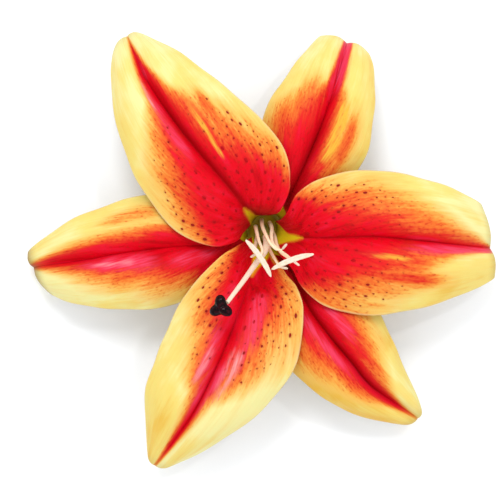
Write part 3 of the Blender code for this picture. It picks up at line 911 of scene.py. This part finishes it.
def make_anther(number, full, reach, tip, material):
    """An anther of two pollen lobes with a furrow between them, over the filament's tip."""
    length = ANTHER_LENGTH if full else SMALL_ANTHER_LENGTH
    radius = ANTHER_RADIUS if full else SMALL_ANTHER_RADIUS
    x_px, y_px, rise_mm = reach
    along = Vector((x_px * PIXEL, -y_px * PIXEL, rise_mm * MM)).normalized()
    lift = Vector((0, 0, radius * ANTHER_FLATNESS + SEAT_GAP))
    centre = tip + lift if full else tip + along * (length / 2 + SEAT_GAP)
    sideways = Vector((0, 0, 1)).cross(along).normalized()
    upward = along.cross(sideways)
    bow = ANTHER_BOW * length if full else 0
    deselect()
    bpy.ops.mesh.primitive_uv_sphere_add(segments=40, ring_count=64, radius=1)
    obj = added(f"anther_{number}_lobes")
    ball = vertices(obj.data)
    end = ball[:, 2]
    ring = np.hypot(ball[:, 0], ball[:, 1])
    side = ball[:, 0] / np.maximum(ring, 1e-6)
    over = ball[:, 1] / np.maximum(ring, 1e-6)
    taper = np.sqrt(np.maximum(0, 1 - np.abs(end) ** 3))
    depth = np.where(over > 0, FURROW_DEPTH, SEAM_DEPTH)
    furrow = 1 - depth * np.exp(-((side / FURROW_WIDTH) ** 2))
    grain = 1 + POLLEN_GRAIN * np.sin(end * 23 + side * 3)
    across = side * radius * taper * grain - bow * end**2
    high = over * radius * taper * grain * furrow * (1 - (1 - ANTHER_FLATNESS) * over**2)
    points = (
        np.array(centre)
        + np.outer(end * length / 2, np.array(along))
        + np.outer(across, np.array(sideways))
        + np.outer(high, np.array(upward))
    )
    set_vertices(obj.data, points)
    obj.data.materials.append(material)
    take_the_place_of(obj, f"anther_{number}")


def make_stigma(material):
    """Three rounded wet lobes."""
    deselect()
    bpy.ops.mesh.primitive_uv_sphere_add(segments=96, ring_count=48, radius=1)
    obj = added("stigma_lobes")
    ball = vertices(obj.data)
    bearing = np.arctan2(ball[:, 1], ball[:, 0])
    swell = np.cos(3 * (bearing - STIGMA_TURN))
    level = np.hypot(ball[:, 0], ball[:, 1])
    reach = STIGMA_RADIUS * (STIGMA_REACH + STIGMA_LOBES * swell) * level
    depth = STIGMA_RADIUS * ball[:, 2] * (STIGMA_DEPTH + STIGMA_SWELL * swell * level)
    local = np.column_stack([np.cos(bearing) * reach, np.sin(bearing) * reach, depth])
    turn = np.array(STIGMA_FACING.to_track_quat("Z", "Y").to_matrix())
    set_vertices(obj.data, np.array(placed(*STIGMA_PLACE)) + local @ turn.T)
    obj.data.materials.append(material)
    take_the_place_of(obj, "stigma")


def make_receptacle(material):
    """The receptacle with the cut pedicel, turned from its outline."""
    name = "receptacle_turned"
    mesh = bpy.data.meshes.new(name)
    corners = [(r * MM, 0, z * MM) for r, z in RECEPTACLE_PROFILE]
    mesh.from_pydata(corners, [(i, i + 1) for i in range(len(corners) - 1)], [])
    obj = bpy.data.objects.new(name, mesh)
    bpy.context.collection.objects.link(obj)
    turned = obj.modifiers.new("Turned", "SCREW")
    turned.steps = turned.render_steps = 64
    turned.use_merge_vertices = True
    turned.merge_threshold = 0.01 * MM
    activate(obj)
    bpy.ops.object.modifier_apply(modifier="Turned")
    x, y = plan(TUBE_FOOT_PX)
    obj.data.transform(Matrix.Translation((x, y, 0)))
    obj.data.materials.append(material)
    take_the_place_of(obj, "receptacle_and_pedicel")


# Materials


def new_material(name):
    material = bpy.data.materials.new(name)
    material.use_nodes = True
    return material, material.node_tree, material.node_tree.nodes["Principled BSDF"]


def node(tree, kind, **settings):
    made = tree.nodes.new(kind)
    for key, value in settings.items():
        setattr(made, key, value)
    return made


def feed(tree, socket, value):
    if isinstance(value, bpy.types.NodeSocket):
        tree.links.new(value, socket)
    else:
        socket.default_value = value


def maths(tree, operation, *values):
    made = node(tree, "ShaderNodeMath", operation=operation)
    for socket, value in zip(made.inputs, values):
        feed(tree, socket, value)
    return made.outputs[0]


def attribute(tree, name):
    return node(tree, "ShaderNodeAttribute", attribute_name=name).outputs["Fac"]


def rise(tree, value, low, high):
    """0 below low, 1 above high, and smooth between."""
    made = node(tree, "ShaderNodeMapRange", interpolation_type="SMOOTHSTEP")
    feed(tree, made.inputs["Value"], value)
    made.inputs["From Min"].default_value = low
    made.inputs["From Max"].default_value = high
    return made.outputs["Result"]


def fall(tree, value, low, high):
    return maths(tree, "SUBTRACT", 1.0, rise(tree, value, low, high))


def noise(tree, vector, detail=3.0):
    """Noise round nought, from about -0.5 to 0.5."""
    made = node(tree, "ShaderNodeTexNoise")
    feed(tree, made.inputs["Vector"], vector)
    made.inputs["Scale"].default_value = 1
    made.inputs["Detail"].default_value = detail
    return maths(tree, "SUBTRACT", made.outputs["Fac"], 0.5)


def mix(tree, factor, first, second, depth=PAINT_DEPTH):
    made = node(tree, "ShaderNodeMix", data_type="RGBA")
    sockets = {socket.identifier: socket for socket in made.inputs}
    feed(tree, sockets["Factor_Float"], factor)
    for identifier, colour in (("A_Color", first), ("B_Color", second)):
        if isinstance(colour, tuple):
            colour = linear(colour, depth)
        feed(tree, sockets[identifier], colour)
    return next(socket for socket in made.outputs if socket.identifier == "Result_Color")


def bump(tree, shader, height, strength, depth_mm):
    made = node(tree, "ShaderNodeBump")
    made.inputs["Strength"].default_value = strength
    made.inputs["Distance"].default_value = depth_mm * MM
    feed(tree, made.inputs["Height"], height)
    feed(tree, shader.inputs["Normal"], made.outputs[0])


def built_up(tree, base, *shares):
    """A field with shares of others added to it, given as pairs of a field and its share."""
    for field, share in shares:
        base = maths(tree, "MULTIPLY_ADD", field, share, base)
    return base


def both(tree, first, second):
    return maths(tree, "MULTIPLY", first, second)


def glaze(tree, colour, paint, mask, strength):
    """A paint laid over the colour where the mask is."""
    return mix(tree, both(tree, mask, strength), colour, paint)


def finish(tree, shader, colour, grain, roughness, specular, scatter, spread=0.2):
    """The colour, a roughness that varies with the grain, and how much light enters the tissue."""
    feed(tree, shader.inputs["Base Color"], colour)
    feed(tree, shader.inputs["Roughness"], built_up(tree, roughness, (grain, spread)))
    shader.inputs["Specular IOR Level"].default_value = specular
    shader.inputs["Subsurface Weight"].default_value = scatter
    shader.inputs["Subsurface Radius"].default_value = SCATTER_SHARES
    shader.inputs["Subsurface Scale"].default_value = SCATTER_DEPTH


def streak_group():
    """Soft clouds on a petal, and broad streaks, fine veins and short flecks along it."""
    tree = bpy.data.node_groups.new("petal streaks", "ShaderNodeTree")
    out = tree.nodes.new("NodeGroupOutput")
    vein = attribute(tree, "vein")
    station = attribute(tree, "station")
    blade = attribute(tree, "blade")
    for name, over, along, detail in (
        ("Cloud", 2.4, 1.3, 2.0),
        ("Broad", 8.0, 0.7, 4.0),
        ("Fine", 32.0, 1.8, 3.0),
        ("Fleck", 34.0, 9.0, 2.0),
    ):
        tree.interface.new_socket(name, in_out="OUTPUT", socket_type="NodeSocketFloat")
        vector = node(tree, "ShaderNodeCombineXYZ")
        feed(tree, vector.inputs["X"], both(tree, vein, over))
        feed(tree, vector.inputs["Y"], both(tree, station, along))
        feed(tree, vector.inputs["Z"], both(tree, blade, BLADE_APART))
        feed(tree, out.inputs[name], noise(tree, vector.outputs[0], detail))
    return tree


def use_group(tree, group):
    made = node(tree, "ShaderNodeGroup")
    made.node_tree = group
    return made.outputs


def petal_face(streaks):
    """The upper side: crimson core, speckled orange edge, yellow margin, pink bands of painted
    sheen, and painted shade at the throat's foot and where the tip folds under.
    """
    material, tree, shader = new_material("petal face")
    grain = use_group(tree, streaks)
    cloud, broad, fine, fleck = (grain[name] for name in ("Cloud", "Broad", "Fine", "Fleck"))
    station = attribute(tree, "station")
    red = attribute(tree, "red")

    warmth = attribute(tree, "warmth")
    warm = built_up(tree, warmth, (red, 0.22), (cloud, 1.4), (broad, 0.5), (fine, 0.5))
    colour = mix(tree, rise(tree, warm, -0.3, 0.3), CREAM, YELLOW)
    colour = mix(tree, rise(tree, warm, 0.3, 1.0), colour, GOLD)

    soft = built_up(tree, red, (broad, 1.0), (fine, 0.5))
    edge = built_up(tree, soft, (fleck, 0.5))
    orange = built_up(tree, attribute(tree, "orange"), (fine, 1.0))
    for paint, field, low, high, strength in (
        (APRICOT, orange, 0.2, 0.9, 0.8),
        (PEACH, soft, -0.8, -0.1, 0.6),
        (APRICOT, soft, -0.4, 0.25, 0.75),
        (ORANGE, edge, -0.05, 0.55, 0.85),
        (SCARLET, edge, 0.35, 0.95, 0.95),
        (CRIMSON, soft, 0.65, 1.25, 1.0),
    ):
        colour = glaze(tree, colour, paint, rise(tree, field, low, high), strength)
    dark = both(tree, fall(tree, broad, -0.22, 0.0), rise(tree, edge, 0.7, 1.2))
    colour = glaze(tree, colour, DARK_RED, dark, 0.5)
    grains = built_up(tree, fleck, (fine, 0.7))
    grains = both(tree, rise(tree, grains, 0.02, 0.3), rise(tree, edge, 0.5, 1.1))
    colour = glaze(tree, colour, DARK_RED, grains, 0.4)
    rosy = both(tree, rise(tree, broad, 0.0, 0.25), rise(tree, soft, 0.8, 1.2))
    colour = mix(tree, rosy, colour, ROSE)
    dots = both(tree, rise(tree, fleck, 0.07, 0.26), rise(tree, soft, -0.3, 0.3))
    colour = glaze(tree, colour, RUST, dots, 0.55)

    # Gold strokes are the petal's own; the pink and pinkish white strokes are painted sheen
    # highlights, streaked along the veins
    stripes = built_up(tree, 1.0, (fine, 2.6), (broad, 1.2))
    for name, paint, low, high, strength in (
        ("gold", GOLD, 0.2, 0.8, 0.95),
        ("pink", PINK_SHEEN, 0.1, 1.3, 0.9),
        ("cream", BLUSH_SHEEN, 0.2, 1.0, 0.9),
    ):
        amount = both(tree, stripes, attribute(tree, name))
        colour = glaze(tree, colour, paint, rise(tree, amount, low, high), strength)

    share = maths(tree, "ABSOLUTE", attribute(tree, "across"))
    rim = both(tree, rise(tree, share, 0.965, 0.99), rise(tree, station, 2.6, 4.0))
    colour = glaze(tree, colour, RIM_CREAM, rim, 0.45)
    # Dark midrib: mostly the petal's own dark red, partly painted shade in the groove
    colour = mix(tree, attribute(tree, "rib"), colour, DARK_RED)
    colour = glaze(tree, colour, GOLD, attribute(tree, "faded"), rise(tree, edge, 0.0, 0.5))
    # Painted shade: a brown band across the blade where its tip folds under
    fold = both(tree, rise(tree, station, 7.7, 8.15), fall(tree, station, 8.15, 8.7))
    colour = glaze(tree, colour, FOLD_SHADE_BROWN, fold, attribute(tree, "fold"))

    green = built_up(tree, attribute(tree, "green"), (fleck, 0.08))
    colour = glaze(tree, colour, NECTARY_FRINGE, rise(tree, green, -0.12, 0.0), 0.8)
    colour = mix(tree, rise(tree, green, -0.03, 0.05), colour, NECTARY_GREEN)
    # Painted shade: the foot of the green wedge, inside the tube, is painted a darker olive
    throat_shade = both(tree, rise(tree, green, 0.05, 0.4), fall(tree, station, 0.0, 0.6))
    colour = mix(tree, throat_shade, colour, THROAT_SHADE_OLIVE)
    colour = glaze(tree, colour, MAROON, attribute(tree, "stain"), 0.4)

    finish(tree, shader, colour, fine, roughness=0.46, specular=0.07, scatter=0.12)
    relief = built_up(tree, fine, (broad, 0.8), (fleck, 0.4))
    bump(tree, shader, relief, strength=0.4, depth_mm=0.4)
    return material


def petal_back(streaks):
    """The under side: pale yellow, rosy over the red, with a green keel that pales to the tip."""
    material, tree, shader = new_material("petal back")
    grain = use_group(tree, streaks)
    broad, fine = grain["Broad"], grain["Fine"]
    field = built_up(tree, attribute(tree, "red"), (broad, 0.6), (fine, 0.4))
    colour = mix(tree, rise(tree, field, 0.0, 1.6), BACK_YELLOW, BACK_ROSE)
    keel = fall(tree, attribute(tree, "keel"), 0.8, 4.0)
    keel = both(tree, keel, fall(tree, attribute(tree, "station"), 5.0, 9.5))
    colour = glaze(tree, colour, BACK_GREEN, keel, 0.85)
    finish(tree, shader, colour, fine, roughness=0.5, specular=0.2, scatter=0.12)
    bump(tree, shader, built_up(tree, fine, (broad, 0.8)), strength=0.4, depth_mm=0.4)
    return material


def patches(tree, size_mm, detail=3.0):
    """Noise in space, with patches of about that size."""
    mapping = node(tree, "ShaderNodeMapping")
    mapping.inputs["Scale"].default_value = (1 / (size_mm * MM),) * 3
    feed(tree, mapping.inputs["Vector"], node(tree, "ShaderNodeTexCoord").outputs["Object"])
    return noise(tree, mapping.outputs[0], detail)


def plant_tissue(name, first, second, roughness, patch_mm, skin=0.2, depth=PAINT_DEPTH):
    """Plain plant tissue that varies between two colours, with a finely uneven skin."""
    material, tree, shader = new_material(name)
    blotches = patches(tree, patch_mm)
    colour = mix(tree, rise(tree, blotches, -0.2, 0.2), first, second, depth)
    finish(tree, shader, colour, blotches, roughness, specular=0.2, scatter=0.15)
    bump(tree, shader, patches(tree, 0.4, 2.0), strength=skin, depth_mm=0.2)
    return material


def spot_skin():
    """Spots are maroon on the yellow and orange, and a dull crimson in the core."""
    material, tree, shader = new_material("raised spot")
    blotches = patches(tree, 1.2)
    shade = built_up(tree, attribute(tree, "dull"), (blotches, 0.8))
    colour = mix(tree, rise(tree, shade, 0.0, 1.0), MAROON, DULL_CRIMSON)
    finish(tree, shader, colour, blotches, roughness=0.6, specular=0.1, scatter=0.0)
    return material


def receptacle_skin():
    """Green outside, and a darker olive painted as shade where it closes the throat."""
    material, tree, shader = new_material("receptacle")
    blotches = patches(tree, 2.0)
    colour = mix(tree, rise(tree, blotches, -0.2, 0.2), STEM_GREEN, PALE_GREEN)
    place = node(tree, "ShaderNodeSeparateXYZ")
    feed(tree, place.inputs[0], node(tree, "ShaderNodeTexCoord").outputs["Object"])
    # Painted shade: the receptacle's top, inside the throat, is painted a darker olive
    above = rise(tree, place.outputs["Z"], THROAT_FLOOR - 0.5 * MM, THROAT_FLOOR + 0.5 * MM)
    colour = mix(tree, above, colour, THROAT_SHADE_OLIVE)
    finish(tree, shader, colour, blotches, roughness=0.5, specular=0.2, scatter=0.1)
    bump(tree, shader, patches(tree, 0.5, 2.0), strength=0.3, depth_mm=0.2)
    return material


def wet_stigma():
    material, tree, shader = new_material("wet stigma")
    beads = patches(tree, 1.1, 2.0)
    colour = mix(tree, rise(tree, beads, -0.1, 0.3), INK, WINE)
    finish(tree, shader, colour, beads, roughness=0.07, specular=0.07, scatter=0.0, spread=0.06)
    bump(tree, shader, beads, strength=0.5, depth_mm=0.5)
    return material


def make_floor():
    deselect()
    bpy.ops.mesh.primitive_plane_add(size=FLOOR_SIZE)
    floor = added("floor")
    material, tree, shader = new_material("pale floor")
    blotches = rise(tree, patches(tree, 25), -0.5, 0.5)
    colour = mix(tree, blotches, FLOOR_GREY, FLOOR_WHITE, depth=1)
    feed(tree, shader.inputs["Base Color"], colour)
    shader.inputs["Roughness"].default_value = 0.9
    floor.data.materials.append(material)


def make_light(name, place, size, power):
    lamp = bpy.data.lights.new(name, "AREA")
    lamp.shape = "DISK"
    lamp.size = size
    lamp.energy = power
    obj = bpy.data.objects.new(name, lamp)
    obj.location = place
    obj.rotation_euler = Vector(place).to_track_quat("Z", "Y").to_euler()
    bpy.context.scene.collection.objects.link(obj)


def make_studio():
    """Soft light from the top left, a small lamp for highlights, and the camera over the bloom."""
    scene = bpy.context.scene
    scene.view_settings.view_transform = "Standard"
    world = bpy.data.worlds.new("studio")
    world.use_nodes = True
    sky = world.node_tree.nodes["Background"]
    sky.inputs["Color"].default_value = (1, 1, 1, 1)
    sky.inputs["Strength"].default_value = SKY_STRENGTH
    scene.world = world
    for name, (place, size, power) in LAMPS.items():
        make_light(name, place, size, power)
    camera = bpy.data.cameras.new("camera")
    camera.sensor_width = SENSOR_WIDTH_MM
    camera.lens = SENSOR_WIDTH_MM * CAMERA_DISTANCE / (PHOTO_SIZE_PX * PIXEL)
    eye = bpy.data.objects.new("camera", camera)
    x, y = plan((PHOTO_SIZE_PX / 2, PHOTO_SIZE_PX / 2))
    eye.location = (x, y, CAMERA_DISTANCE + CAMERA_LEVEL)
    scene.collection.objects.link(eye)
    scene.camera = eye


def make_petals():
    streaks = streak_group()
    face = petal_face(streaks)
    back = petal_back(streaks)
    spot = spot_skin()
    for number, name in enumerate(SHAPES):
        petal = Petal(name, number)
        chosen, places = make_petal(petal, face, back)
        if chosen:
            make_spots(petal, chosen, places, spot)


def make_stamens():
    # The filaments' paint is brightened: painted light against the shade of the throat
    filament = plant_tissue("filament", STAMEN_CREAM, STAMEN_PINK, 0.4, 9.0, depth=FILAMENT_BRIGHTENED_DEPTH)
    anther = plant_tissue("anther", IVORY, PALE_IVORY, 0.6, 1.6, 0.5)
    for number, (full, reach, route) in enumerate(STAMENS, start=1):
        make_filament(number, route, filament)
        make_anther(number, full, reach, placed(*route[-1]), anther)


def make_pistil():
    style = plant_tissue("style", STYLE_IVORY, STYLE_PINK, 0.38, 7.0)
    path = [placed(*p) for p in STYLE_PATH]
    radii = [STYLE_RADIUS * width for width in STYLE_WIDTHS]
    make_strand("style_strand", path, radii, style, "style", samples=60)
    ovary = plant_tissue("ovary", OVARY_GREEN, OVARY_YELLOW, 0.45, 3.0)
    path = [placed(*p) for p in OVARY_PATH]
    radii = [OVARY_RADIUS * width for width in OVARY_WIDTHS]
    make_strand("ovary_body", path, radii, ovary, "ovary", samples=40)
    make_stigma(wet_stigma())


def main():
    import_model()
    make_studio()
    make_floor()
    make_petals()
    make_stamens()
    make_pistil()
    make_receptacle(receptacle_skin())


main()
